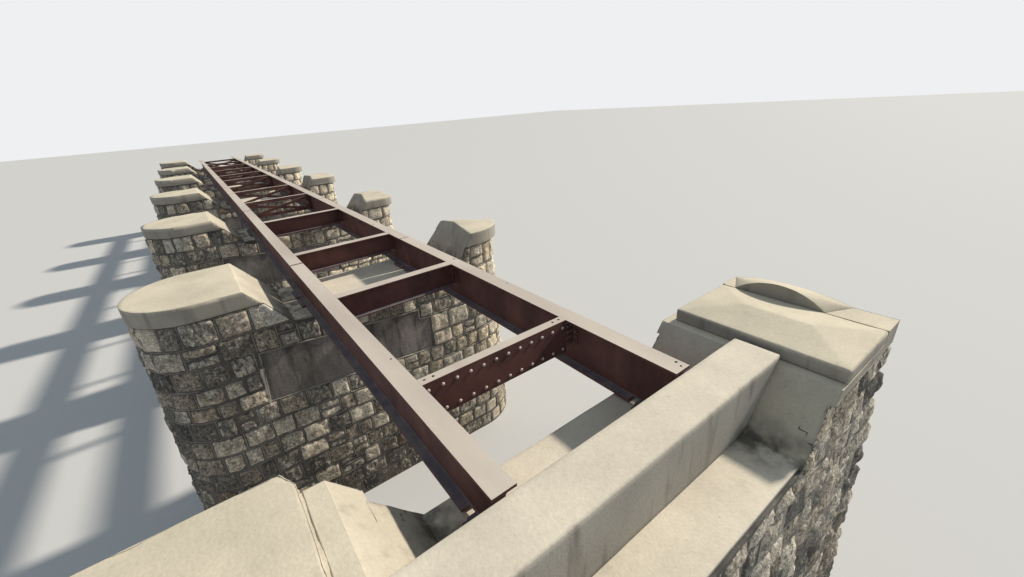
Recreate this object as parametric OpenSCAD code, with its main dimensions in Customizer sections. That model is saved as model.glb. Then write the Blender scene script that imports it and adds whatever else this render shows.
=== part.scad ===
// A row of seven masonry piers that carries two lines of steel girders.
// The bridge runs along X, Y is across it and Z is up, with z = 0 at the feet of the piers.

/* [Layout] */
// Distance between the centres of neighbouring piers
bay = 4700; // [4300:50:4900]
// Distance between the centre lines of the two girders
gauge = 1520; // [1400:10:1600]
// How far the top of the caps stands above the top of the girders
cap_rise = 40; // [20:5:80]

/* [Piers] */
// Thickness of a pier along the bridge, at its top
pier_w = 1260; // [1180:10:1320]
// How far each face of a pier spreads towards its foot
batter = 150; // [100:5:180]
// Height of one course of stone
course_h = 250; // [240:2:260]
// Courses from the foot to the underside of the caps
courses = 13; // [12:1:14]
// From the girders' axis to the tip of a pier's left nose, at its top
left_reach = 2530; // [2400:10:2640]
// From the girders' axis to a pier's right end, which is upright
right_reach = 2170; // [2100:10:2240]
// Radius of the two corners at that end; the second pier has a round nose there
end_r = 270; // [220:10:320]
// From the girders' axis to the left end of the first pier, which is square
first_left_reach = 2720; // [2650:10:2850]
// From the girders' axis to its right end
first_right_reach = 2410; // [2380:10:2500]
// From the girders' axis to the left edge of a pier's level seat, where the slope starts
seat_half = 1030; // [990:5:1060]
// From the girders' axis to the upper edge of that slope
slope_half = 1445; // [1420:5:1460]
// Level run of the right slopes, which are steeper past the first pier
right_run = 260; // [230:5:300]
// Angle by which the near part of the second pier's right slope turns outwards
fold_near = 17; // [12:1:22]
// Angle by which its far part turns back
fold_far = 10; // [6:1:14]
// How much further out that far part lies at the far side of the pier
fold_out = 60; // [40:5:80]
// Level run that the far part has more than the near part
fold_run = 215; // [180:5:240]
// Thickness of the concrete seat on each pier
seat_t = 40; // [30:5:60]
// Thickness of the concrete that faces the slopes, measured level
facing_t = 90; // [60:5:120]
// How far that facing stays back from the near and far faces of a pier
facing_in = 100; // [80:5:120]

/* [Caps] */
// Thickness of the concrete caps
cap_t = 200; // [160:5:240]
// How far the caps stand out over the stones
cap_over = 30; // [15:1:50]
// How far they stand out over the stones at the right ends
right_over = 100; // [60:5:130]
// How much the second pier's right cap falls from its near to its far side
cap_fall = 60; // [40:5:80]
// How far from its end that cap is cut away slantwise at its far side
cap_cut = 570; // [500:10:620]
// How far short of the middle of the pier this slanting cut starts
cap_cut_at = 150; // [100:10:200]
// How much lower the bed of the first pier's right cap lies
first_cap_drop = 108; // [90:2:120]
// From the girders' axis to the raised end of that cap
end_block_at = 2190; // [2160:5:2220]
// Rise of the arched inner face of that end
arch_rise = 130; // [110:5:160]
// Half the width of that arch
arch_half = 360; // [320:10:400]
// Rise of the same arch at the outer end
arch_end_rise = 60; // [40:5:80]
// Half its width at the outer end
arch_end_half = 480; // [440:10:520]
// How far the middle of the arch lies past the middle of the pier
arch_at = 110; // [80:5:140]
// How far the first pier's right cap and loose slab reach past the middle of that pier
first_cap_far = 590; // [560:5:640]
// Height of the hip on the loose slab
hip_rise = 50; // [30:5:70]
// How far the first pier's outer left slab reaches past the middle of that pier
outer_slab_far = 900; // [850:10:950]
// The same for the block on its inner side
inner_block_far = 720; // [700:5:760]
// From the girders' axis to the open joint between the two
outer_slab_at = 1560; // [1540:5:1600]
// How much higher the outer slab stands
outer_slab_rise = 12; // [6:1:20]
// Radius of its outer corners
outer_slab_r = 260; // [200:10:320]
// Width of the open joint
open_joint = 12; // [8:1:16]

/* [Infill panels] */
// Height of the concrete panel set in a pier's face
panel_h = 650; // [600:10:700]
// Length of a panel along its foot
panel_l = 2185; // [2100:5:2250]
// Depth that a panel reaches into the stones
panel_t = 60; // [40:2:90]
// Height of a panel's lower left corner over the foot of the pier
panel_z = 2020; // [1960:10:2080]
// From the girders' axis to that corner
panel_left = 1540; // [1480:10:1600]
// Angle by which a panel falls towards its right end
panel_fall = 4.2; // [2:0.1:6]
// Length of the lower step at a panel's right end
panel_step_l = 165; // [130:5:200]
// How much lower that step is
panel_step_h = 140; // [110:10:170]

/* [Girders] */
// Depth of a main girder
girder_h = 457; // [440:1:480]
// Width of a main girder's flanges
girder_w = 155; // [145:1:170]
// Thickness of a main girder's flanges
girder_flange_t = 20; // [16:1:24]
// Thickness of a main girder's web
girder_web_t = 12; // [10:1:16]
// Root radius between web and flange of the main girders
girder_root_r = 14; // [8:1:16]
// Gap between the ends of two girders over a pier
joint_gap = 22; // [14:1:30]
// Length of bottom flange that is cut away at the first pier
flange_cut = 380; // [340:5:400]

/* [Bearings] */
// Thickness of the plates under the girders' ends
bearing_t = 25; // [16:1:30]
// Length of a bearing plate along the girder
bearing_l = 300; // [240:5:320]
// Width of a bearing plate
bearing_w = 230; // [200:5:260]
// Distance from a girder's end to its bearing plate
bearing_inset = 20; // [10:1:40]
// Thickness of the block that fills the cut-away flange at the first pier
chair_t = 20; // [16:1:24]

/* [Cross members] */
// Depth of the solid cross beams
cross_h = 295; // [270:1:310]
// Width of the rolled cross beams' flanges
cross_w = 125; // [110:1:140]
// Thickness of the rolled cross beams' flanges
cross_flange_t = 14; // [10:1:18]
// Thickness of the cross beams' webs
cross_web_t = 10; // [8:1:12]
// Root radius of the rolled cross beams
cross_root_r = 10; // [6:1:12]
// Depth of the riveted channel
channel_h = 320; // [290:1:340]
// Width of the flanges of the riveted channel
channel_w = 85; // [75:1:95]
// Diameter of the holes in the channel's top flange
channel_hole_d = 22; // [18:1:24]
// Distance of the first of those holes from the channel's end
channel_hole_end = 40; // [34:1:50]
// Distance between the two holes at each end
channel_hole_pitch = 70; // [60:1:90]
// Depth of the crossed frames
frame_h = 390; // [340:2:400]
// Leg of the frames' chord angles
chord_leg = 75; // [65:1:85]
// Width of the frames' crossed bars
bar_w = 65; // [55:1:75]
// Thickness of all angles, bars and gussets
angle_t = 9; // [8:1:11]
// Side of the frames' corner gussets
gusset_w = 170; // [150:5:190]
// Leg of the cleats that join the cross members to the girders
cleat_leg = 75; // [65:1:85]

/* [Near end] */
// Thickness of the wall behind the first pier's seat
wall_t = 340; // [300:5:380]
// From the first pier's near face to the wall's own far face
wall_in = 700; // [680:5:720]
// Gap between that wall and the girders' ends
wall_gap = 14; // [8:1:20]

/* [Hidden] */
$fn = 96;
end_steps = 16;
bays = 6;
// Two steel faces that touch are drawn this far apart
seat_gap = 0.3;
// Reach of the tools that cut, past the surfaces that they cut
past = 50;
// Distance of each cross member from the start of its bay, as a share of the bay
cross_share = [[0.247, 0.683], [0.099, 0.668], [0.227, 0.688],
    [0.392, 0.772], [0.247, 0.683], [0.130, 0.590]];
masonry_top = course_h * courses;
cap_top = masonry_top + cap_t;
girder_top = cap_top - cap_rise;
girder_foot = girder_top - girder_h;
seat_z = girder_foot - bearing_t;
// Cross members are flush with the girders' tops; under the girders' flanges their webs end at this height
cope_z = girder_top - girder_flange_t - girder_root_r;
cap_w = pier_w + 2 * cap_over;
// The girders' axis lies off the middle of the first pier, whose ends set the width of the whole
axis_y = (first_right_reach - first_left_reach) / 2;
wall_at = wall_in - pier_w / 2;
// For each pier: how much lower its right cap lies, how much further out the slope of that cap lies, and
// the angle by which this slope turns outwards towards its far side
right_drop = [0, 20, 165, 85, 105, 70, 75];
right_out = [0, 65, 180, 105, 20, -40, -60];
right_turn = [0, fold_near, 14, 10, 7, 6, 5];
// The far part of the right slope of three piers: how much further out it lies, how much more it runs, and
// the angle by which it turns back
far_out = [0, fold_out, 45, 45];
far_run = [0, fold_run, 160, 0];
far_turn = [0, fold_far, 20, 20];
pocket_z = seat_z - seat_t;
low_bed = cap_top - first_cap_drop;
foot_half = pier_w / 2 + batter;
nose_l = left_reach - pier_w / 2;
cap_reach = right_reach + right_over;
// Length of a cross member between the two girders' webs
web_span = gauge - girder_web_t - 2 * seat_gap;
// Length of a cross member's flanges, which end at the edges of the girders' flanges
flange_span = gauge - girder_w - 2 * seat_gap;
stone = [0.55, 0.50, 0.43];
concrete = [0.80, 0.76, 0.66];
rust = [0.30, 0.17, 0.14];

function pier_x(k) = (k - bays / 2) * bay;
function cross_x(k) = pier_x(floor(k / 2)) + cross_share[floor(k / 2)][k % 2] * bay;
function seat_right(k) = k == 0 ? seat_half : slope_half - right_run + right_out[k];
function run_right(k) = k == 0 ? slope_half - seat_half : right_run;
function corner_of(k) = k == 1 ? pier_w / 2 : end_r;
function corners_at(r) = r < pier_w / 2 ? [r - pier_w / 2, pier_w / 2 - r] : [0];

// Distance from the girders' axis, at a level, of a slope that rises outwards from a seat's edge
function slope_y(edge, run, z) = edge + (z - seat_z) * run / (cap_top - seat_z);

// Each pier is drawn with x = 0 at its own centre and y = 0 at the girders' axis
module at_pier(k) translate([pier_x(k), axis_y, 0]) children();

// Turns a shape drawn across the bridge, with Y and Z as its own axes, into a bar along X
module along_x(length) rotate([90, 0, 90]) linear_extrude(length) children();

// A prism along Y that reaches that far left and right, drawn with X and Z as its own axes
module along_y(left, right) translate([0, left, 0]) rotate([90, 0, 0])
    linear_extrude(left + right) children();

// Box given by its ends along each axis
module block(x, y, z) translate([x[0], y[0], z[0]]) cube([x[1] - x[0], y[1] - y[0], z[1] - z[0]]);

// The space on the girders' side of a right slope, above a level
module beside_slope(edge, run, floor_z) {
    top = cap_top + arch_rise + past;
    translate([-bay / 2, 0, 0]) along_x(bay)
        polygon([[-slope_y(edge, run, top), top], [-slope_y(edge, run, floor_z), floor_z],
            [bay, floor_z], [bay, top]]);
}

// Turns a shape outwards about a seat's right edge, at the near (-1) or far (1) side of a pier
module turned(side, edge, angle) translate([side * cap_w / 2, -edge, 0]) rotate(side * angle)
    translate([-side * cap_w / 2, edge, 0]) children();

// The space on the girders' side of a pier's right slope, whose seat edge is moved out by a spread
module beside_right(k, floor_z, spread) {
    edge = seat_right(k) + spread;
    intersection() {
        turned(-1, edge, right_turn[k]) beside_slope(edge, run_right(k), floor_z);
        if (k > 0 && k < len(far_out)) turned(1, edge + far_out[k], far_turn[k])
            beside_slope(edge + far_out[k], run_right(k) + far_run[k], floor_z);
    }
}

// The space between a pier's two slopes and above a level
module trough(k, floor_z, spread = 0) intersection() {
    mirror([0, 1, 0]) beside_slope(seat_half + spread, slope_half - seat_half, floor_z);
    beside_right(k, floor_z, spread);
}

// The space that the concrete on a pier's slopes fills, seen without the trough itself
module facing_space(k) intersection() {
    trough(k, pocket_z, facing_t);
    block([facing_in - pier_w / 2, pier_w / 2 - facing_in], [-bay, bay], [pocket_z, cap_top]);
}

// Solid of a pier before its seat is cut, with all faces spread towards the foot
module pier_mass(k) {
    if (k == 0) square_mass();
    else nosed_mass(corner_of(k), right_drop[k]);
}

// A round nose on the left; on the right a lower top and an upright end with corners of the given radius
module nosed_mass(r, drop) difference() {
    union() {
        along_y(nose_l, right_reach - r - batter)
            side_outline(foot_half, foot_half, pier_w / 2, pier_w / 2);
        translate([0, nose_l, 0]) cylinder(h = masonry_top, r1 = foot_half, r2 = pier_w / 2);
        right_end(r);
    }
    block([-bay, bay], [-bay, 0], [masonry_top - drop, masonry_top + past]);
}

// A pier's upright right end, whose near and far faces spread towards the foot like the other faces
module right_end(r) {
    outline = end_outline(r);
    n = len(outline);
    foot = [for (p = outline) place_on(p, r, batter, 0)];
    top = [for (p = outline) place_on(p, r, 0, masonry_top)];
    polyhedron(concat(foot, top), concat(
        [[for (i = [0 : n - 1]) i]],
        [[for (i = [0 : n - 1]) 2 * n - 1 - i]],
        [for (i = [0 : n - 1]) [i, n + i, n + (i + 1) % n, (i + 1) % n]]));
}

// For each point of that end's outline: side of the pier, distance inwards past the corners, angle
function end_outline(r) = concat([[-1, batter + past, 180]],
    [for (i = [0 : end_steps]) [-1, 0, 180 + i * 90 / end_steps]],
    [for (i = [(r < pier_w / 2 ? 0 : 1) : end_steps]) [1, 0, 270 + i * 90 / end_steps]],
    [[1, batter + past, 360]]);

// Such a point at one level, where the near and far faces are spread by the given amount
function place_on(p, r, spread, z) = [p[0] * (pier_w / 2 - r) + (r + spread) * cos(p[2]),
    p[1] > 0 ? r + p[1] - right_reach : r + spread - right_reach + (r + spread) * sin(p[2]), z];

module square_mass() intersection() {
    along_y(first_left_reach + batter, first_right_reach + batter)
        side_outline(foot_half, foot_half, pier_w / 2, pier_w / 2);
    translate([-foot_half, 0, 0]) along_x(2 * foot_half)
        side_outline(first_right_reach + batter, first_left_reach + batter,
            first_right_reach, first_left_reach);
}

// Battered outline with its reach to either side at the foot and at the top of the stones
module side_outline(foot_near, foot_far, top_near, top_far)
    polygon([[-foot_near, 0], [foot_far, 0], [top_far, masonry_top], [-top_near, masonry_top]]);

// Space that a panel fills in the near face of a pier, with a lower step at its right end
module panel_space() translate([-pier_w, panel_left, panel_z])
    along_x(pier_w / 2 + panel_t) rotate(panel_fall) union() {
        translate([panel_step_l - panel_l, 0]) square([panel_l - panel_step_l, panel_h]);
        translate([-panel_l, 0]) square([panel_step_l, panel_h - panel_step_h]);
    }

module pier(k) color(stone) at_pier(k) difference() {
    pier_mass(k);
    trough(k, pocket_z);
    facing_space(k);
    if (k > 0) panel_space();
}

module infill_panels() color(concrete)
    for (k = [1 : bays]) at_pier(k) intersection() {
        pier_mass(k);
        panel_space();
    }

// Concrete on a pier's slopes, from the seat up to the caps
module facings(k) intersection() {
    pier_mass(k);
    facing_space(k);
}

module nosed_caps(k) {
    translate([0, 0, masonry_top]) linear_extrude(cap_t) {
        translate([-cap_w / 2, 0]) square([cap_w, nose_l]);
        translate([0, nose_l]) circle(d = cap_w);
    }
    difference() {
        translate([0, 0, masonry_top - right_drop[k]]) linear_extrude(cap_t) right_outline(corner_of(k));
        if (k == 1) above_falling_top(cap_top - right_drop[k]);
        if (k == 1) slanting_cut();
    }
}

// The space past the slanting far side of the second pier's right cap
module slanting_cut() translate([0, -cap_reach, 0]) linear_extrude(bay)
    polygon([[-cap_cut_at, 0], [cap_w / 2, cap_cut], [cap_w, cap_cut], [cap_w, -past],
        [-cap_cut_at, -past]]);

module right_outline(r) {
    middle = r + cap_over - cap_reach;
    translate([-cap_w / 2, middle]) square([cap_w, -middle]);
    for (x = corners_at(r)) translate([x, middle]) circle(r + cap_over);
    if (r < pier_w / 2) translate([r - pier_w / 2, -cap_reach]) square([pier_w - 2 * r, right_reach]);
}

// The space above a cap whose top falls towards its far side from the given height
module above_falling_top(height) translate([-cap_w / 2, -bay, height])
    rotate([0, atan(cap_fall / cap_w), 0]) translate([-past, 0, 0]) cube([bay, bay, cap_t]);

// The first pier's caps: a block and a slab with an open joint on the left, a low bed on the right
module first_caps() {
    near = -cap_w / 2;
    end = -first_right_reach - cap_over;
    difference() {
        union() {
            block([near, inner_block_far], [0, outer_slab_at], [masonry_top, cap_top]);
            outer_slab();
        }
        block([-bay, bay], [outer_slab_at - open_joint / 2, outer_slab_at + open_joint / 2],
            [cap_top - 2 * open_joint, cap_top + past]);
    }
    block([near, -near], [end, 0], [masonry_top, low_bed]);
    block([near, first_cap_far], [end, -end_block_at], [low_bed, cap_top]);
    arched_end();
}

// The first pier's outer left slab, with round outer corners and one inner corner broken off
module outer_slab() {
    end = first_left_reach + cap_over;
    translate([0, 0, masonry_top]) linear_extrude(cap_t + outer_slab_rise) difference() {
        union() {
            rounded_side(-cap_w / 2, outer_slab_far, outer_slab_at, end);
            translate([-cap_w / 2, outer_slab_at])
                square([cap_w / 2 + outer_slab_far, end - outer_slab_at - outer_slab_r]);
        }
        polygon([[outer_slab_far + 1, outer_slab_at - 1], [outer_slab_far + 1, outer_slab_at + 60],
            [inner_block_far + 40, outer_slab_at - 1]]);
    }
}

// Outer end of that slab, between its two round corners
module rounded_side(near, far, from, to) {
    for (x = [near + outer_slab_r, far - outer_slab_r])
        translate([x, to - outer_slab_r]) circle(outer_slab_r);
    translate([near + outer_slab_r, from]) square([far - near - 2 * outer_slab_r, to - from]);
}

// Low vault on the end of the first pier's right cap, higher and narrower at its inner face
module arched_end() hull() {
    vault_slice(end_block_at, arch_rise, arch_half);
    vault_slice(first_right_reach + cap_over - 1, arch_end_rise, arch_end_half);
}

module vault_slice(at, rise, half) {
    r = (half * half + rise * rise) / (2 * rise);
    translate([arch_at, -at, cap_top]) rotate([90, 0, 0]) linear_extrude(1) intersection() {
        translate([0, rise - r]) circle(r, $fn = 128);
        translate([-half, 0]) square([2 * half, rise + 1]);
    }
}

module caps(k) color(concrete) at_pier(k) difference() {
    union() {
        if (k == 0) first_caps();
        else nosed_caps(k);
        facings(k);
    }
    trough(k, pocket_z);
}

// Loose hipped slab that lies on the bed of the first pier's right cap
module edge_slab() color(concrete) at_pier(0) {
    middle = -(slope_half + end_block_at) / 2;
    hip_in = (end_block_at - slope_half) / 2;
    sides = [-cap_w / 2, first_cap_far];
    block(sides, [-end_block_at, -slope_half], [low_bed, cap_top]);
    hull() {
        block(sides, [-end_block_at, -slope_half], [cap_top - 1, cap_top]);
        block([sides[0] + hip_in, sides[1] - hip_in], [middle - 1, middle + 1],
            [cap_top, cap_top + hip_rise]);
    }
}

module bridge_seats() color(concrete)
    for (k = [0 : bays]) at_pier(k) intersection() {
        trough(k, pocket_z);
        block([-pier_w / 2, pier_w / 2], [-bay, bay], [pocket_z, seat_z]);
    }

module back_wall() color(concrete) at_pier(0) intersection() {
    trough(0, seat_z);
    block([wall_at - wall_t, wall_at], [-slope_half, slope_half], [seat_z, girder_top]);
}

// Rolled section with rounded roots, its top at y = 0 of the drawing
module rolled_section(h, w, flange_t, web_t, root_r) {
    translate([-web_t / 2, -h]) square([web_t, h]);
    for (y = [-flange_t, -h]) translate([-w / 2, y]) square([w, flange_t]);
    for (side = [-1, 1], end = [0, 1]) root_fillet(side, end, h, flange_t, web_t, root_r);
}

module root_fillet(side, end, h, flange_t, web_t, r) {
    corner_y = end == 0 ? -flange_t : -h + flange_t;
    inward = end == 0 ? -1 : 1;
    translate([side * web_t / 2, corner_y]) difference() {
        translate([side > 0 ? 0 : -r, inward > 0 ? 0 : -r]) square(r);
        translate([side * r, inward * r]) circle(r);
    }
}

module girder(k, side) {
    start = k == 0 ? pier_x(0) + wall_at + wall_gap : pier_x(k) + joint_gap / 2;
    end = pier_x(k + 1) - joint_gap / 2;
    color(rust) translate([0, axis_y + side * gauge / 2, 0]) difference() {
        translate([start, 0, girder_top]) along_x(end - start)
            rolled_section(girder_h, girder_w, girder_flange_t, girder_web_t, girder_root_r);
        if (k == 0) translate([start - past, -girder_w, girder_foot - past])
            cube([flange_cut + past, 2 * girder_w, past + girder_flange_t]);
    }
}

// Plates under both ends of every girder, and the chairs that fill the first pier's cut flanges
module bearing_plates() color(rust) translate([0, axis_y, 0])
    for (side = [-1, 1]) translate([0, side * gauge / 2, 0]) {
        for (k = [0 : bays], hand = [-1, 1])
            if (k + hand >= 0 && k + hand <= bays) bearing(k, hand);
        chair();
    }

module bearing(k, hand) {
    end = k == 0 ? wall_at + wall_gap : joint_gap / 2;
    near = end + bearing_inset;
    translate([pier_x(k) + (hand > 0 ? near : -near - bearing_l), -bearing_w / 2, seat_z])
        cube([bearing_l, bearing_w, bearing_t]);
}

module chair() {
    translate([pier_x(0) + wall_at + wall_gap + bearing_inset, -girder_w / 2, girder_foot])
        cube([bearing_l, girder_w, chair_t]);
}

// Vertical angles against both girders' webs, on both faces of a cross member's web
module cleats(foot_z, web_t) {
    height = cope_z - foot_z;
    for (side = [0, 1], face = [0, 1]) mirror([0, side, 0]) mirror([face, 0, 0])
        translate([web_t / 2, web_span / 2, foot_z]) {
            translate([0, -cleat_leg, 0]) cube([angle_t, cleat_leg, height]);
            translate([0, -angle_t, 0]) cube([cleat_leg, angle_t, height]);
        }
}

// Web that runs on under the girders' flanges to the cleats
module web_ends(foot_z) {
    translate([-cross_web_t / 2, -web_span / 2, foot_z]) cube([cross_web_t, web_span, cope_z - foot_z]);
}

// Bar from flange edge to flange edge, its section drawn with the girders' top at y = 0
module across() translate([0, flange_span / 2, girder_top]) rotate([90, 0, 0])
    linear_extrude(flange_span) children();

module rolled_cross(k) color(rust) translate([cross_x(k), axis_y, 0]) {
    foot_z = girder_top - cross_h + cross_flange_t + cross_root_r;
    across() rolled_section(cross_h, cross_w, cross_flange_t, cross_web_t, cross_root_r);
    web_ends(foot_z);
    cleats(foot_z, cross_web_t);
}

// The first cross member: a flat plate with an angle along its back at top and foot
module riveted_channel(k) color(rust) translate([cross_x(k), axis_y, 0]) difference() {
    foot_z = girder_top - channel_h + chord_leg;
    hole_y = flange_span / 2 - channel_hole_end;
    union() {
        across() channel_section();
        web_ends(foot_z);
        cleats(foot_z, cross_web_t);
    }
    for (side = [-1, 1], n = [0, 1])
        translate([channel_w / 2, side * (hole_y - n * channel_hole_pitch), girder_top - past / 2])
            cylinder(h = past, d = channel_hole_d);
}

module channel_section() {
    translate([-cross_web_t / 2, -channel_h]) square([cross_web_t, channel_h]);
    for (y = [-angle_t, -channel_h]) translate([-cross_web_t / 2, y]) square([channel_w, angle_t]);
    for (y = [-chord_leg, -channel_h]) translate([cross_web_t / 2, y]) square([angle_t, chord_leg]);
}

// Open frame: two chords, two crossed bars, four gussets and the cleats at its ends
module crossed_frame(k) color(rust) translate([cross_x(k), axis_y, 0]) {
    foot_z = girder_top - frame_h;
    rise = cope_z - foot_z - chord_leg;
    run = web_span - 2 * cleat_leg;
    lean = atan2(rise, run);
    bar_l = norm([run, rise]) + chord_leg / 4;
    across() chord_section();
    for (side = [-1, 1]) translate([side * angle_t / 2, 0, (cope_z + foot_z) / 2])
        rotate([side * lean, 0, 0]) cube([angle_t, bar_l, bar_w], center = true);
    for (side = [0, 1], end = [0, 1]) translate([0, 0, (cope_z + foot_z) / 2])
        mirror([0, side, 0]) mirror([0, 0, end]) corner_gusset((cope_z - foot_z) / 2);
    cleats(foot_z, angle_t);
}

// Top and bottom chord of a frame, each with a level leg and an upright leg
module chord_section() {
    for (y = [-angle_t, -frame_h]) translate([-angle_t / 2, y]) square([chord_leg, angle_t]);
    for (y = [-chord_leg, -frame_h]) translate([-angle_t / 2, y]) square([angle_t, chord_leg]);
}

// Plate in the upper left corner of a frame, reaching up to the given height
module corner_gusset(top) translate([-angle_t / 2, web_span / 2, top]) along_x(angle_t)
    polygon([[0, 0], [-gusset_w, 0], [-gusset_w, -chord_leg / 2], [-chord_leg, -gusset_w], [0, -gusset_w]]);

pier(0);  // pier_0
pier(1);  // pier_1
pier(2);  // pier_2
pier(3);  // pier_3
pier(4);  // pier_4
pier(5);  // pier_5
pier(6);  // pier_6
caps(0);  // caps_0
caps(1);  // caps_1
caps(2);  // caps_2
caps(3);  // caps_3
caps(4);  // caps_4
caps(5);  // caps_5
caps(6);  // caps_6
girder(0, 1);  // girder_left_0
girder(1, 1);  // girder_left_1
girder(2, 1);  // girder_left_2
girder(3, 1);  // girder_left_3
girder(4, 1);  // girder_left_4
girder(5, 1);  // girder_left_5
girder(0, -1);  // girder_right_0
girder(1, -1);  // girder_right_1
girder(2, -1);  // girder_right_2
girder(3, -1);  // girder_right_3
girder(4, -1);  // girder_right_4
girder(5, -1);  // girder_right_5
riveted_channel(0);  // cross_channel
rolled_cross(1);  // cross_beam_1
rolled_cross(2);  // cross_beam_2
rolled_cross(3);  // cross_beam_3
crossed_frame(4);  // cross_frame_4
crossed_frame(5);  // cross_frame_5
crossed_frame(6);  // cross_frame_6
crossed_frame(7);  // cross_frame_7
crossed_frame(8);  // cross_frame_8
crossed_frame(9);  // cross_frame_9
crossed_frame(10);  // cross_frame_10
crossed_frame(11);  // cross_frame_11
bridge_seats();
bearing_plates();
infill_panels();
back_wall();
edge_slab();
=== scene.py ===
"""Looks of a girder bridge on masonry piers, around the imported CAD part. Metres, in the frame of the CAD."""
import math
import random

import bmesh
import bpy
import numpy as np
from mathutils import Matrix, Vector


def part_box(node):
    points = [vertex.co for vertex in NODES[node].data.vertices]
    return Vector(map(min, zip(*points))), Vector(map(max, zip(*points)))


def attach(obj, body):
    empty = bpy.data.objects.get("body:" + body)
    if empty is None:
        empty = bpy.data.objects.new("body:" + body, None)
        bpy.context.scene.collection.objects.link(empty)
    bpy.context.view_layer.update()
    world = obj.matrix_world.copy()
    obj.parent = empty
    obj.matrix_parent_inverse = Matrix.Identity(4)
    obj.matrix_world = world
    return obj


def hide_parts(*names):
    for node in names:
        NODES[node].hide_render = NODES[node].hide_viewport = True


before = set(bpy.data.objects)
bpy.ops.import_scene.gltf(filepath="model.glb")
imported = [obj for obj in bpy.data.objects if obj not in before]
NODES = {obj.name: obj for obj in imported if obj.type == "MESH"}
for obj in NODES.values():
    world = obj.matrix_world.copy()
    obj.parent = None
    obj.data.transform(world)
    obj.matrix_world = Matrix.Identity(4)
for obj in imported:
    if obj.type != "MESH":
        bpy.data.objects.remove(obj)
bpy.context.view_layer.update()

PIERS = range(7)

# Places and sizes, read from the CAD nodes
girder_low, girder_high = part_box("girder_left_1")
right_low, right_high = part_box("girder_right_1")
AXIS_Y = (girder_low.y + right_high.y) / 2
GIRDER_TOP = girder_high.z
HALF_GAUGE = (girder_low.y + girder_high.y) / 2 - AXIS_Y
CAP_H = 0.20
CAP_LOW, CAP_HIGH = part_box("caps_1")
CAP_TOP = CAP_HIGH.z
MASONRY_TOP = CAP_HIGH.z - CAP_H
SEAT_LOW, SEAT_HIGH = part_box("bridge_seats")
SEAT_Z = SEAT_HIGH.z
POCKET_Z = SEAT_LOW.z
SEAT_HALF = SEAT_HIGH.y - AXIS_Y
COURSES = 13
COURSE_H = MASONRY_TOP / COURSES
CAP_OVER = 0.03
PIER_HALF_TOP = (CAP_HIGH.x - CAP_LOW.x) / 2 - CAP_OVER
SLOPE_HALF = 1.445
FACING_IN = 0.10

# Panels: lower left corner from the girders' axis, size, the step at the right end, and the fall towards it
PANEL_AT = (1.540, 2.020)
PANEL_L = 2.185
PANEL_H = 0.650
PANEL_STEP_L = 0.165
PANEL_STEP_H = 0.140
PANEL_FALL = math.radians(4.2)

# The lower right ends of the piers: drop of the cap, place and turn of the slope, radius of the corners,
# and the far part of the slope, which lies further out, runs further and turns back
RIGHT_DROP = (0.0, 0.020, 0.165, 0.085, 0.105, 0.070, 0.075)
RIGHT_OUT = (0.0, 0.065, 0.180, 0.105, 0.020, -0.040, -0.060)
RIGHT_TURN = tuple(math.radians(a) for a in (0, 17, 14, 10, 7, 6, 5))
RIGHT_RUN = 0.26
FAR_OUT = {1: 0.060, 2: 0.045, 3: 0.045}
FAR_RUN = {1: 0.215, 2: 0.160, 3: 0.0}
FAR_TURN = {1: math.radians(10), 2: math.radians(20), 3: math.radians(20)}
END_R = 0.27

# Heights of some course lines if they were evenly spaced, and as they are at the left and right of a pier
BEDS = (0.0, 1.75, 2.00, 2.25, 2.50, 2.75, 3.00, 3.25)
BEDS_LEFT = (0.0, 1.76, 2.018, 2.22, 2.44, 2.70, 2.955, 3.25)
BEDS_RIGHT = (0.0, 1.63, 1.866, 2.09, 2.385, 2.60, 2.90, 3.25)


# Camera at the photograph's viewing angle
IMAGE_W = 1024
FOCAL_PX = 422.1
CAMERA_AT = (-15.301, AXIS_Y + 1.543, 5.156)
CAMERA_PITCH = -0.4147
CAMERA_YAW = -0.62
CAMERA_ROLL = -0.0724
SENSOR_MM = 36.0
CAMERA_REACH = 400


def make_camera():
    data = bpy.data.cameras.new("camera")
    data.sensor_width = SENSOR_MM
    data.lens = SENSOR_MM * FOCAL_PX / IMAGE_W
    data.clip_end = CAMERA_REACH
    camera = bpy.data.objects.new("camera", data)
    bpy.context.scene.collection.objects.link(camera)
    pitch, yaw = CAMERA_PITCH, CAMERA_YAW
    level = math.cos(pitch)
    forward = Vector((math.cos(yaw) * level, math.sin(yaw) * level, math.sin(pitch)))
    right = Vector((math.sin(yaw), -math.cos(yaw), 0))
    up = right.cross(forward)
    c, s = math.cos(CAMERA_ROLL), math.sin(CAMERA_ROLL)
    right, up = c * right + s * up, c * up - s * right
    matrix = Matrix((right, up, -forward)).transposed().to_4x4()
    matrix.translation = CAMERA_AT
    camera.matrix_world = matrix
    bpy.context.scene.camera = camera


# Smooth random fields, the same on every run
def lattice(ix, iy, iz, seed):
    """Random value from 0 to 1 for each whole-number point, from a hash of its places and the seed."""
    h = ix * 374761393 + iy * 668265263 + iz * 2147483647 + seed * 974634777
    h = (h ^ (h >> 13)) * 1274126177
    h = h ^ (h >> 16)
    return (h & 0xFFFFFF) / float(0xFFFFFF)


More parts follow.
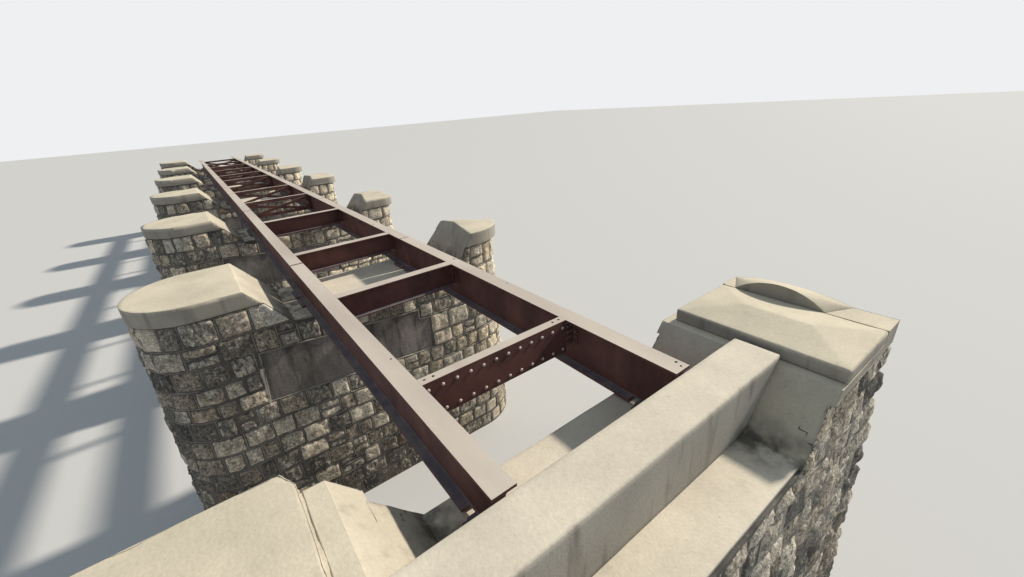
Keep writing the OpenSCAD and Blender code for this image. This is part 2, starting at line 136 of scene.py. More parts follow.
def field(points, size, seed, layers=3):
    """Smooth noise from -1 to 1 at the given points, with detail down from the given size."""
    total = np.zeros(len(points))
    strength, reach = 1.0, 0.0
    for layer in range(layers):
        p = points / size * 2 ** layer + 37.1 * layer
        cell = np.floor(p).astype(np.int64)
        f = p - cell
        f = f * f * (3 - 2 * f)
        value = np.zeros(len(points))
        for corner in range(8):
            dx, dy, dz = corner & 1, corner >> 1 & 1, corner >> 2 & 1
            near_x, near_y = np.abs(1 - dx - f[:, 0]), np.abs(1 - dy - f[:, 1])
            weight = near_x * near_y * np.abs(1 - dz - f[:, 2])
            value += weight * lattice(cell[:, 0] + dx, cell[:, 1] + dy, cell[:, 2] + dz, seed + layer)
        total += strength * (value * 2 - 1)
        reach += strength
        strength *= 0.5
    return total / reach * 1.6


# Colours of the materials, before light; some of them also hold painted light and shade, as noted
STONE_FRESH = ((0.61, 0.53, 0.41), (0.58, 0.53, 0.45))
STONE_STAIN = (0.045, 0.041, 0.038)
MORTAR = ((0.070, 0.063, 0.058), (0.150, 0.135, 0.118), (0.22, 0.20, 0.175))
# Pointing: two mortar colours, and a third for pale flecks that are a painted highlight
POINTING_WITH_PAINTED_HIGHLIGHT = ((0.19, 0.172, 0.15), (0.35, 0.32, 0.27), (0.50, 0.46, 0.40))
# Painted highlight beside the second pier's panel
PANEL_EDGE_PAINTED_HIGHLIGHT = (0.62, 0.57, 0.48)
DIRT = (0.085, 0.070, 0.055)
# Concrete: top, upright faces and stains; the pale top and grey sides are painted light and shade
CAP_LIT_TOP_SHADED_SIDE_STAIN = ((0.68, 0.60, 0.455), (0.36, 0.325, 0.27), (0.17, 0.15, 0.13))
SEAT_LIT_TOP_SHADED_SIDE_STAIN = ((0.73, 0.65, 0.52), (0.40, 0.37, 0.32), (0.17, 0.15, 0.125))
PANEL = ((0.105, 0.092, 0.083), (0.225, 0.198, 0.180))
PANEL_STREAKS = ((0.050, 0.042, 0.038), (0.34, 0.31, 0.28))
RUST = ((0.088, 0.037, 0.032), (0.170, 0.070, 0.056))
RUST_STREAK = (0.175, 0.078, 0.060)
RUST_FLECK = (0.17, 0.075, 0.05)
STEEL_DUST = ((0.63, 0.55, 0.465), (0.51, 0.43, 0.37), (0.36, 0.28, 0.23))
# Lower flanges: dust darkened and blued as painted shade under the top flanges
STEEL_SHELF_PAINTED_SHADE = ((0.15, 0.13, 0.145), (0.23, 0.19, 0.185))
# Pale rivet heads: dust and a painted highlight
PALE_RIVET_PAINTED_HIGHLIGHT = (0.60, 0.52, 0.48)
# Dark colour of painted shade in open holes and joints
HOLE_PAINTED_SHADE = (0.03, 0.02, 0.018)
FLOOR = (0.62, 0.61, 0.59)

# Where dirt on the concrete sets in and where it is full: distances from the girders' axis, and heights
# above the seat
DIRT_BESIDE = (0.78, 0.95)
DIRT_ABOVE = (0.16, 0.02)


class Nodes:
    """Short calls for a material's node tree."""

    def __init__(self, name, roughness=0.85, metallic=0.0):
        self.material = bpy.data.materials.new(name)
        self.material.use_nodes = True
        self.tree = self.material.node_tree
        self.shader = self.tree.nodes["Principled BSDF"]
        self.shader.inputs["Roughness"].default_value = roughness
        self.shader.inputs["Metallic"].default_value = metallic
        self.place = self.tree.nodes.new("ShaderNodeTexCoord").outputs["Object"]
        geometry = self.tree.nodes.new("ShaderNodeNewGeometry")
        self.position, self.normal = geometry.outputs["Position"], geometry.outputs["Normal"]

    def node(self, kind, **inputs):
        made = self.tree.nodes.new(kind)
        for name, value in inputs.items():
            self.put(made.inputs[name.replace("_", " ")], value)
        return made

    def put(self, socket, value):
        if isinstance(value, bpy.types.NodeSocket):
            self.tree.links.new(value, socket)
        elif isinstance(value, tuple) and len(value) == 3 and len(socket.default_value) == 4:
            socket.default_value = (*value, 1)
        else:
            socket.default_value = value

    def noise(self, size, detail=4, stretch=(1, 1, 1)):
        """Cloudy value around 0.5, its clouds about as wide as the size in metres."""
        mapping = self.node("ShaderNodeMapping", Vector=self.place, Scale=stretch)
        made = self.node("ShaderNodeTexNoise", Vector=mapping.outputs[0], Scale=1 / size, Detail=detail)
        return made.outputs["Fac"]

    def range(self, value, low, high, out_low=0.0, out_high=1.0):
        """Maps low to high onto out_low to out_high, and holds it there beyond."""
        made = self.node("ShaderNodeMapRange", Value=value)
        limits = {"From Min": low, "From Max": high, "To Min": out_low, "To Max": out_high}
        for socket, limit in limits.items():
            made.inputs[socket].default_value = limit
        return made.outputs[0]

    def math(self, operation, a, b):
        made = self.tree.nodes.new("ShaderNodeMath")
        made.operation = operation
        self.put(made.inputs[0], a)
        self.put(made.inputs[1], b)
        return made.outputs[0]

    def mix(self, factor, a, b, blend="MIX"):
        made = self.tree.nodes.new("ShaderNodeMix")
        made.data_type = "RGBA"
        made.blend_type = blend
        self.put(made.inputs["Factor"], factor)
        for socket, value in ((made.inputs[6], a), (made.inputs[7], b)):
            self.put(socket, value)
        return made.outputs[2]

    def grey(self, value):
        return self.node("ShaderNodeCombineXYZ", X=value, Y=value, Z=value).outputs[0]

    def axis(self, vector, name):
        made = self.node("ShaderNodeSeparateXYZ", Vector=vector)
        return made.outputs[name]

    def finish(self, colour, bump=None, height=0.002, strength=0.6):
        self.put(self.shader.inputs["Base Color"], colour)
        if bump is not None:
            made = self.node("ShaderNodeBump", Height=bump, Distance=height, Strength=strength)
            self.put(self.shader.inputs["Normal"], made.outputs[0])
        return self.material


def stone_material():
    """Rubble with a tint for each stone; the tint's alpha says how much fresh, pale face shows, and both hold
    painted sunlight on the piers' right ends.
    """
    m = Nodes("rubble stone", 0.92)
    tint = m.tree.nodes.new("ShaderNodeAttribute")
    tint.attribute_name = "tint"
    grain = m.range(m.noise(0.016, 8), 0.3, 0.7, 0.45, 1.55)
    patches = m.range(m.noise(0.10, 6), 0.3, 0.7, 0.66, 1.34)
    share = m.math("MULTIPLY", tint.outputs["Alpha"], 0.30)
    pale = m.math("ADD", m.noise(0.038, 9, (1.0, 1.0, 0.55)), share)
    fresh = m.mix(m.noise(0.2, 3), *STONE_FRESH)
    colour = m.mix(m.range(pale, 0.57, 0.80, 0.0, 0.92), tint.outputs["Color"], fresh)
    colour = m.mix(1.0, colour, m.grey(m.math("MULTIPLY", grain, patches)), "MULTIPLY")
    dark = m.math("SUBTRACT", m.noise(0.034, 9), m.math("MULTIPLY", tint.outputs["Alpha"], 0.13))
    colour = m.mix(m.range(dark, 0.47, 0.64, 0.0, 0.80), colour, STONE_STAIN)
    return m.finish(colour, m.noise(0.014, 7), 0.009, 0.9)


def mortar_material():
    m = Nodes("mortar", 0.95)
    colour = m.mix(m.range(m.noise(0.25, 4), 0.35, 0.65), MORTAR[0], MORTAR[1])
    colour = m.mix(m.range(m.noise(0.02, 5), 0.55, 0.78), colour, MORTAR[2])
    return m.finish(colour, m.noise(0.008, 5), 0.003)


def pointing_material():
    """Raised mortar, darker near the ground and on the left of the piers; brighter towards the right as
    painted sunlight, with pale flecks of painted highlight.
    """
    m = Nodes("pointing", 0.95)
    colour = m.mix(m.range(m.noise(0.30, 4), 0.38, 0.64), POINTING_WITH_PAINTED_HIGHLIGHT[0], POINTING_WITH_PAINTED_HIGHLIGHT[1])
    # The third colour, in small flecks, is a painted highlight on the raised mortar.
    colour = m.mix(m.range(m.noise(0.03, 5), 0.56, 0.74), colour, POINTING_WITH_PAINTED_HIGHLIGHT[2])
    low = m.range(m.axis(m.position, "Z"), 0.3, 1.5, 0.35, 1.0)
    # Painted sunlight: brighter towards the piers' sunlit right ends, darker on the left.
    right = m.range(m.axis(m.position, "Y"), AXIS_Y + 1.3, AXIS_Y - 0.4, 0.95, 1.4)
    colour = m.mix(1.0, colour, m.grey(m.math("MULTIPLY", low, right)), "MULTIPLY")
    return m.finish(colour, m.noise(0.008, 5), 0.003)


def seat_dirt(m):
    """Share of dirt on concrete: in clouds, low on the seats and slopes and beside the girders."""
    from_axis = m.math("ABSOLUTE", m.math("SUBTRACT", m.axis(m.position, "Y"), AXIS_Y), 0.0)
    beside = m.range(from_axis, *DIRT_BESIDE)
    low = m.range(m.axis(m.position, "Z"), SEAT_Z + DIRT_ABOVE[0], SEAT_Z + DIRT_ABOVE[1])
    clouds = m.range(m.noise(0.13, 7), 0.38, 0.58, 0.1, 0.85)
    dirt = m.math("MULTIPLY", m.math("MULTIPLY", beside, low), clouds)
    return m.math("MULTIPLY", dirt, m.range(m.axis(m.position, "Z"), POCKET_Z - 0.02, POCKET_Z))


def concrete_material(name, top, side, stain):
    """Pale on top and grey on upright faces, a painted split of sunlit tops and shaded sides, with streaks,
    pits and dirt low beside the girders.
    """
    m = Nodes(name, 0.9)
    # Painted light and shade: faces that look up get the pale lit colour, upright faces the grey shaded one.
    up = m.range(m.axis(m.normal, "Z"), 0.10, 1.02)
    base = m.mix(up, side, top)
    cloud = m.range(m.noise(0.5, 5), 0.3, 0.7, 0.86, 1.10)
    grain = m.range(m.noise(0.02, 6), 0.3, 0.7, 0.93, 1.06)
    shade = m.math("MULTIPLY", cloud, grain)
    colour = m.mix(1.0, base, m.grey(shade), "MULTIPLY")
    streak = m.range(m.noise(0.10, 5, (1, 1, 0.14)), 0.56, 0.74, 0.0, 0.65)
    streak = m.math("MULTIPLY", streak, m.range(up, 0.0, 1.0, 1.0, 0.12))
    colour = m.mix(streak, colour, stain)
    pits = m.range(m.noise(0.035, 3), 0.72, 0.78, 0.0, 0.6)
    colour = m.mix(pits, colour, stain)
    colour = m.mix(seat_dirt(m), colour, DIRT)
    return m.finish(colour, m.noise(0.015, 6), 0.0025)


def panel_material():
    """Brown-grey concrete in the pier's shade, washed lighter and darker in upright streaks."""
    m = Nodes("panel concrete", 0.92)
    dark_streak, pale_streak = PANEL_STREAKS
    colour = m.mix(m.range(m.noise(0.30, 5, (1, 1, 0.45)), 0.36, 0.62), *PANEL)
    colour = m.mix(m.range(m.noise(0.09, 6, (1, 1, 0.12)), 0.52, 0.70, 0.0, 0.75), colour, dark_streak)
    colour = m.mix(m.range(m.noise(0.07, 6, (1, 1, 0.2)), 0.60, 0.74, 0.0, 0.5), colour, pale_streak)
    colour = m.mix(1.0, colour, m.grey(m.range(m.noise(0.03, 6), 0.3, 0.7, 0.8, 1.2)), "MULTIPLY")
    paler = m.range(m.axis(m.position, "Y"), AXIS_Y + 0.6, AXIS_Y - 0.5, 1.0, 1.2)
    colour = m.mix(1.0, colour, m.grey(paler), "MULTIPLY")
    return m.finish(colour, m.noise(0.02, 6), 0.004)


def steel_material():
    """Brown rust, under pale dust on the top faces, and on the lower flanges a darker, bluish dust that is
    partly painted shade.
    """
    m = Nodes("rusted steel", 0.78)
    up = m.range(m.axis(m.normal, "Z"), 0.35, 0.85)
    rust = m.mix(m.range(m.noise(0.28, 5), 0.35, 0.65), *RUST)
    rust = m.mix(m.range(m.noise(0.08, 6, (1, 1, 0.15)), 0.50, 0.70, 0.0, 0.55), rust, RUST_STREAK)
    rust = m.mix(m.range(m.noise(0.018, 5), 0.55, 0.75, 0.0, 0.45), rust, RUST_FLECK)
    dust = m.mix(m.range(m.noise(0.35, 6, (0.3, 1, 1)), 0.35, 0.7), STEEL_DUST[0], STEEL_DUST[1])
    dust = m.mix(m.range(m.noise(0.012, 5), 0.58, 0.76, 0.0, 0.35), dust, STEEL_DUST[2])
    # Painted shade: the upward faces of the lower flanges get a darker, bluish dust.
    low = m.range(m.axis(m.position, "Z"), GIRDER_TOP - 0.2, GIRDER_TOP - 0.1)
    shaded_shelf = m.mix(m.range(m.noise(0.12, 5), 0.4, 0.65), *STEEL_SHELF_PAINTED_SHADE)
    dust = m.mix(low, shaded_shelf, dust)
    colour = m.mix(up, rust, dust)
    return m.finish(colour, m.noise(0.01, 5), 0.0012)


def plain_material(name, colour, roughness=0.9):
    return Nodes(name, roughness).finish(colour)


# Mesh helpers
def add_object(name, vertices, faces, material, smooth=False):
    mesh = bpy.data.meshes.new(name)
    mesh.from_pydata([tuple(v) for v in vertices], [], faces)
    mesh.update()
    mesh.materials.append(material)
    if smooth:
        mesh.polygons.foreach_set("use_smooth", [True] * len(mesh.polygons))
    made = bpy.data.objects.new(name, mesh)
    bpy.context.scene.collection.objects.link(made)
    return made


def dress(piece, replaced=None):
    """Hands a finished piece to the frame."""
    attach(piece, "root")
    if replaced:
        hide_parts(replaced)
    return piece


def patchwork(name, patches, material):
    """One smooth, finished piece out of patches that are each given as points and faces."""
    points, faces = [], []
    for more, quads in patches:
        faces += [tuple(len(points) + i for i in quad) for quad in quads]
        points += list(more)
    return dress(add_object(name, points, faces, material, smooth=True))


def copy_node(node, name, material):
    """Independent copy of a CAD node's mesh, with doubled points joined and flat faces made whole."""
    mesh = NODES[node].data.copy()
    mesh.name = name
    made = bpy.data.objects.new(name, mesh)
    bpy.context.scene.collection.objects.link(made)
    b = bmesh.new()
    b.from_mesh(mesh)
    bmesh.ops.remove_doubles(b, verts=b.verts, dist=1e-5)
    bmesh.ops.dissolve_limit(b, angle_limit=math.radians(0.5), verts=b.verts, edges=b.edges)
    b.to_mesh(mesh)
    b.free()
    mesh.materials.clear()
    mesh.materials.append(material)
    return made


def apply_modifier(piece, kind, **settings):
    modifier = piece.modifiers.new(kind, kind)
    for name, value in settings.items():
        setattr(modifier, name, value)
    bpy.context.view_layer.update()
    baked = bpy.data.meshes.new_from_object(piece.evaluated_get(bpy.context.evaluated_depsgraph_get()))
    piece.modifiers.clear()
    old = piece.data
    piece.data = baked
    bpy.data.meshes.remove(old)


# Unevenness of worn concrete, and the angle from which its edges are drawn sharp
UNEVEN = 0.0015
SHARP_FROM = math.radians(38)


def round_edges(piece, width, from_degrees):
    angle = math.radians(from_degrees)
    apply_modifier(piece, "BEVEL", width=width, segments=2, limit_method="ANGLE", angle_limit=angle)


def cut_grid(b, low, high, cell):
    """Cuts every face along evenly spaced planes, so that there are points to roughen."""
    for axis in range(3):
        normal = [0.0, 0.0, 0.0]
        normal[axis] = 1.0
        steps = int((high[axis] - low[axis]) / cell)
        for i in range(1, steps + 1):
            at = [0.0, 0.0, 0.0]
            at[axis] = low[axis] + (high[axis] - low[axis]) * (i - 0.5 + 0.001 * axis) / (steps + 1)
            everything = b.verts[:] + b.edges[:] + b.faces[:]
            bmesh.ops.bisect_plane(b, geom=everything, plane_co=at, plane_no=normal, dist=1e-6)


def worn_copy(node, name, material, cell, bevel, chip, seed):
    """Copy of a CAD solid with worn, chipped edges and an uneven surface, inside the solid's own box."""
    piece = copy_node(node, name, material)
    low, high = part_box(node)
    round_edges(piece, bevel, 25)
    b = bmesh.new()
    b.from_mesh(piece.data)
    cut_grid(b, low, high, cell)
    b.normal_update()
    edge = np.array([1 - min((v.normal.dot(f.normal) for f in v.link_faces), default=1.0) for v in b.verts])
    co = np.array([v.co[:] for v in b.verts])
    no = np.array([v.normal[:] for v in b.verts])
    edge = np.clip(edge / 0.05, 0, 1)
    chipped = np.clip(field(co, 0.35, seed + 4, 3) - 0.15, 0, 1)
    spall = chipped * np.clip(0.6 + field(co, 0.07, seed + 6, 3), 0, 1.4)
    depth = UNEVEN * (1 + field(co, 0.25, seed, 4)) + edge * chip * (0.25 + 1.6 * spall)
    co = np.clip(co - no * depth[:, None], np.array(low), np.array(high))
    for v, at in zip(b.verts, co):
        v.co = at
    b.to_mesh(piece.data)
    b.free()
    piece.data.polygons.foreach_set("use_smooth", [True] * len(piece.data.polygons))
    piece.data.set_sharp_from_angle(angle=SHARP_FROM)
    return piece


# Masonry

# Half a joint's width, lengths of stones, arms of corner stones, share of split stones, and least distance
# between upright joints of two courses
JOINT_HALF = 0.008
STONE_LENGTHS = (0.19, 0.37)
QUOIN_ARMS = (0.34, 0.22)
SPLIT_SHARE = 0.08
JOINTS_APART = 0.035

# Courses beside a panel, beside its step and over it, and where their stones end, from the girders' axis
PANEL_COURSES = (8, 9, 10)
STEP_COURSE = 10
OVER_COURSE = 11
BESIDE_PANEL = (1.55, -0.675)
BESIDE_STEP = -0.53
OVER_PANEL = (1.50, -0.51)

# A large pale stone under the second pier's left cap, from the girders' axis
CAP_COURSE = 12
PALE_STONE = (1.455, 0.95)
PALE_STONE_TINT = (0.60, 0.57, 0.53)

# Tints of the stones with their shares, and how much warmer and paler they are drawn, near and far
STONE_TINTS = (
    ((0.260, 0.226, 0.188), 26),
    ((0.165, 0.152, 0.138), 26),
    ((0.330, 0.290, 0.238), 17),
    ((0.420, 0.370, 0.300), 11),
    ((0.240, 0.180, 0.135), 3),
    ((0.105, 0.098, 0.092), 11),
    ((0.520, 0.480, 0.410), 4))
WARMER = (1.04, 1.0, 0.92)
PALER_NEAR = 1.12
PALER_FAR = 1.30

# Height at which places across a face are measured; how far pointing keeps off the slopes, more near the cap
ACROSS_Z = 3.08
OFF_SLOPE = 0.012
OFF_SLOPE_MORE = 0.05
OFF_SLOPE_FROM = 3.0
OFF_SLOPE_RISE = 0.2


class Pier:
    """The battered outline of one pier, walked round by the distance u at half height, near face first."""

    def __init__(self, k):
        low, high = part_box(f"pier_{k}")
        self.k = k
        self.x = (low.x + high.x) / 2
        self.half = PIER_HALF_TOP
        self.batter = (high.x - low.x) / 2 - self.half
        self.square = k == 0
        left, right = high.y - self.batter, low.y + (self.batter if self.square else 0.0)
        nose = 0.0 if self.square else self.half
        corner_r = 0.0 if self.square else self.half if k == 1 else END_R
        self.left, self.right = left - nose, right + corner_r
        parts = self.outline(left, right, nose, corner_r)
        lengths = [self.walk(*part[:5]) for part in parts]
        keep = [n for n, length in enumerate(lengths) if length > 1e-6]
        self.parts = np.array([[*parts[n][0], *parts[n][1], *parts[n][2:]] for n in keep])
        self.lengths = np.array([lengths[n] for n in keep])
        self.starts = np.concatenate([[0.0], np.cumsum(self.lengths)[:-1]])
        self.length = float(self.lengths.sum())
        self.corners = tuple(self.starts) if self.square else ()
        self.face = lengths[0]
        self.right_end = sum(lengths[1:4])
        self.left_end = lengths[5]

    def outline(self, left, right, nose, r):
        """Start, end, radius, first and last direction of the outward normal; and 1 where the upright right
        end draws a point inwards by as much as the faces spread."""
        near, end, far = math.pi, 1.5 * math.pi, 2 * math.pi
        up = 0 if self.square else 1
        half, flat, corner = self.half, self.half - r, self.right
        parts = [((-half, self.left), (-half, corner), 0, near, near, 0, up),
                 ((-flat, corner), (-flat, corner), r, near, end, up, up),
                 ((-flat, right), (flat, right), 0, end, end, up, up),
                 ((flat, corner), (flat, corner), r, end, far, up, up),
                 ((half, corner), (half, self.left), 0, far, far, up, 0),
                 ((0.0, self.left), (0.0, self.left), nose, 0, near, 0, 0)]
        if self.square:
            parts[5] = ((half, left), (-half, left), 0, 0.5 * near, 0.5 * near, 0, 0)
        return parts

    def walk(self, start, stop, radius, first, last):
        straight = math.dist(start, stop)
        turned = (last - first) * (radius + self.batter / 2) if radius else 0.0
        return straight + (self.batter if self.square and straight else 0.0) + turned

    def spread(self, z):
        """How far the battered faces have come out at a height."""
        return self.batter * (1 - z / MASONRY_TOP)

    def surface(self, u, z, out):
        """Points on the face, moved out by a distance. All three are arrays."""
        u = np.mod(u, self.length)
        side = np.searchsorted(self.starts, u, side="right") - 1
        share = (u - self.starts[side]) / self.lengths[side]
        x0, y0, x1, y1, radius, first, last, drawn0, drawn1 = self.parts[side].T
        spread = self.spread(z)
        grown = spread + out
        angle = first + share * (last - first)
        x = x0 + share * (x1 - x0)
        y = y0 + share * (y1 - y0) + (drawn0 + share * (drawn1 - drawn0)) * spread
        x, y = x + (radius + grown) * np.cos(angle), y + (radius + grown) * np.sin(angle)
        if self.square:
            along = (2 * share - 1) * grown
            x, y = x - along * np.sin(angle), y + along * np.cos(angle)
        return np.stack([self.x + x, y, z], 1)

    def across(self, u):
        """Distance of u from the girders' axis, growing past the faces' ends, and whether it is near."""
        u = u % self.length
        spread = self.spread(ACROSS_Z)
        drawn, more = (2 * spread, spread) if self.square else (spread, 0.0)
        rate = (self.left - self.right + drawn) / self.face if self.square else 1 - drawn / self.face
        if u < self.face + self.right_end / 2:
            return self.left + more - u * rate - AXIS_Y, True
        if u < 2 * self.face + self.right_end + self.left_end / 2:
            start = self.right - more + (0.0 if self.square else drawn)
            return start + (u - self.face - self.right_end) * rate - AXIS_Y, False
        return self.left + more + self.length - u - AXIS_Y, True

    def place(self, rel, z):
        """Where on the near face a distance from the girders' axis lies, at a height."""
        return (self.left - AXIS_Y - rel) / (1 - self.spread(z) / self.face)

    def slope(self, right, near):
        """Where a slope meets a face at the seat's height, and its level run over one metre of height."""
        rise, k = CAP_TOP - SEAT_Z, self.k
        if not right or self.square:
            return SEAT_HALF, (SLOPE_HALF - SEAT_HALF) / rise
        turn, edge, run = RIGHT_TURN[k], SLOPE_HALF - RIGHT_RUN + RIGHT_OUT[k], RIGHT_RUN
        if near:
            edge += CAP_OVER * math.tan(turn)
        elif k in FAR_TURN:
            turn, run = FAR_TURN[k], run + FAR_RUN[k]
            edge += FAR_OUT[k] + CAP_OVER * math.tan(turn)
        else:
            edge += (2 * self.half + CAP_OVER) * math.tan(turn)
        return edge, run / rise / math.cos(turn)

    def clear(self, us, zs):
        """True for the places that the trough between the slopes leaves on the faces."""
        keep = []
        for u, z in zip(us, zs):
            rel, near = self.across(u)
            edge, rate = self.slope(rel < 0, near)
            margin = OFF_SLOPE + OFF_SLOPE_MORE * min(1, max(0, (z - OFF_SLOPE_FROM) / OFF_SLOPE_RISE))
            keep.append(z < POCKET_Z - 0.01 or abs(rel) > edge + (z - SEAT_Z) * rate + margin)
        return np.array(keep)

    def course_line(self, us, z, over_panel=False):
        """Heights of a course line at several places; the courses fall and close up towards the right."""
        rel = np.array([self.across(u)[0] for u in us])
        if self.square:
            return np.full(len(us), float(z))
        if over_panel:
            return panel_edge(rel, PANEL_H)
        share = np.clip((rel + 0.6) / 2.1, 0, 1)
        short = RIGHT_DROP[self.k] * np.clip((z - 2.75) / 0.5, 0, 1) * (rel < 0)
        return share * np.interp(z, BEDS, BEDS_LEFT) + (1 - share) * np.interp(z, BEDS, BEDS_RIGHT) - short


def panel_edge(rel, up):
    """Height of a line along a panel, that far up from the panel's foot."""
    return PANEL_AT[1] + up / math.cos(PANEL_FALL) - (PANEL_AT[0] - rel) * math.tan(PANEL_FALL)


def strip_faces(strips, row):
    """Faces of a grid of points that are listed row by row, with one strip fewer than rows."""
    return [(j * row + i, j * row + i + 1, (j + 1) * row + i + 1, (j + 1) * row + i)
            for j in range(strips) for i in range(row - 1)]


def apart(pier, at, below):
    half = pier.length / 2
    return all(abs((at - b + half) % pier.length - half) > JOINTS_APART for b in below)


def fill(pier, start, end, below, rng):
    """Upright joints between two places, kept off the joints of the course below."""
    shortest, longest = STONE_LENGTHS
    cuts = [start]
    while end - cuts[-1] > longest:
        for attempt in range(6):
            step = rng.uniform(shortest, longest)
            at = cuts[-1] + step
            if end - at > shortest * 0.8 and apart(pier, at, below):
                break
        if end - cuts[-1] - step < shortest * 0.8:
            step = (end - cuts[-1]) / 2
        cuts.append(cuts[-1] + step)
    return cuts + [end]


def quoins(pier, course, z0, z1):
    """Corner stones of the square pier, whose long arms change sides, and the gaps between them."""
    stones, gaps = [], []
    arms = (QUOIN_ARMS, QUOIN_ARMS[::-1]) if course % 2 else (QUOIN_ARMS[::-1], QUOIN_ARMS)
    for n, corner in enumerate(pier.corners):
        before, after = arms[1 - n % 2]
        stones.append((corner - before, corner + after, z0, z1))
        following = pier.corners[(n + 1) % 4] + (pier.length if n == 3 else 0)
        gaps.append((corner + after, following - arms[n % 2][0]))
    return stones, gaps


def course_gaps(pier, course, z0, z1, rng):
    """Stones of a course that are given one by one, and the stretches that are left to fill."""
    if pier.square:
        return quoins(pier, course, z0, z1)
    if course in PANEL_COURSES:
        right = BESIDE_STEP if course == STEP_COURSE else BESIDE_PANEL[1]
        return [], [(pier.place(right, z0), pier.place(BESIDE_PANEL[0], z0) + pier.length)]
    if course == OVER_COURSE:
        start, end = (pier.place(rel, z0) for rel in OVER_PANEL)
        return [], [(start, end), (end, start + pier.length)]
    if course == CAP_COURSE and pier.k == 1:
        start, end = (pier.place(rel, z0) for rel in PALE_STONE)
        return [(start, end, z0, z1)], [(end, start + pier.length)]
    turn = rng.uniform(0, 0.3)
    return [], [(turn, turn + pier.length)]


def course_stones(pier, course, below, rng):
    """Start, end, foot and top of every stone of one course, and its upright joints."""
    z0, z1 = course * COURSE_H, (course + 1) * COURSE_H
    stones, gaps = course_gaps(pier, course, z0, z1, rng)
    joints = []
    for start, end in gaps:
        cuts = fill(pier, start, end, below, rng)
        joints += cuts
        for u0, u1 in zip(cuts, cuts[1:]):
            if rng.random() < SPLIT_SHARE:
                middle = z0 + COURSE_H * rng.uniform(0.4, 0.6)
                stones += [(u0, u1, z0, middle), (u0, u1, middle, z1)]
            else:
                stones.append((u0, u1, z0, z1))
    return stones, joints


def grid_lines(start, end, spacing, corners):
    """Evenly spaced places that also hit every corner between the two ends."""
    stops = [start] + [c for c in corners if start + 0.01 < c < end - 0.01] + [end]
    lines = [start]
    for a, b in zip(stops, stops[1:]):
        n = max(2, round((b - a) / spacing))
        lines += [a + (b - a) * (i + 1) / n for i in range(n)]
    return np.array(lines)


def joint_side(gap, first, last, share):
    return gap + first * (1 - share) + last * share


def off_the_slope(u, z, u0, rel0, rel1, gap, edge_y, rate):
    """Draws a stone's points together, so that it ends where the slope of the trough begins."""
    inner, outer = sorted((abs(rel0), abs(rel1)))
    way = 1 if abs(rel1) > abs(rel0) else -1
    least = np.where(z > POCKET_Z - 0.02, edge_y + (z - SEAT_Z) * rate + gap, 0.0)
    at = abs(rel0) + (u - u0) * way
    share = np.clip((at - inner - gap) / (outer - inner - 2 * gap), 0, 1)
    floor = np.maximum(inner + gap, np.minimum(least, outer - gap - 0.02))
    at = floor + share * (outer - gap - floor)
    return u0 + (at - abs(rel0)) * way


def rough_face(flat, a, b, width, height, rng):
    """How far each point of a stone's face stands out: rounded towards the edges, leaning and uneven."""
    edge = np.minimum(np.minimum(a, 1 - a) * width, np.minimum(b, 1 - b) * height)
    seed = rng.randrange(1 << 20)
    reach = edge + 0.010 * field(flat, 0.06, seed + 5, 2)
    rise = np.clip(reach / rng.uniform(0.025, 0.060), 0, 1)
    rise = rise * (2 - rise)
    lean = rng.uniform(-0.022, 0.022) * (a - 0.5) + rng.uniform(-0.018, 0.018) * (b - 0.5)
    face = rng.uniform(0.008, 0.024) + lean + 0.014 * field(flat, 0.10, seed, 2)
    face = face + 0.010 * field(flat, 0.042, seed + 2, 3)
    out = -JOINT_IN + rise * (np.clip(face, 0.001, STONE_OUT) + JOINT_IN)
    return np.where(edge < 1e-4, -JOINT_IN, out)


# Reach of the stones, depth of their edges, least height of a cut stone, and reach per metre above the ground
STONE_OUT = 0.036
JOINT_IN = 0.006
LEAST_H = 0.035
OUT_PER_HEIGHT = 0.04


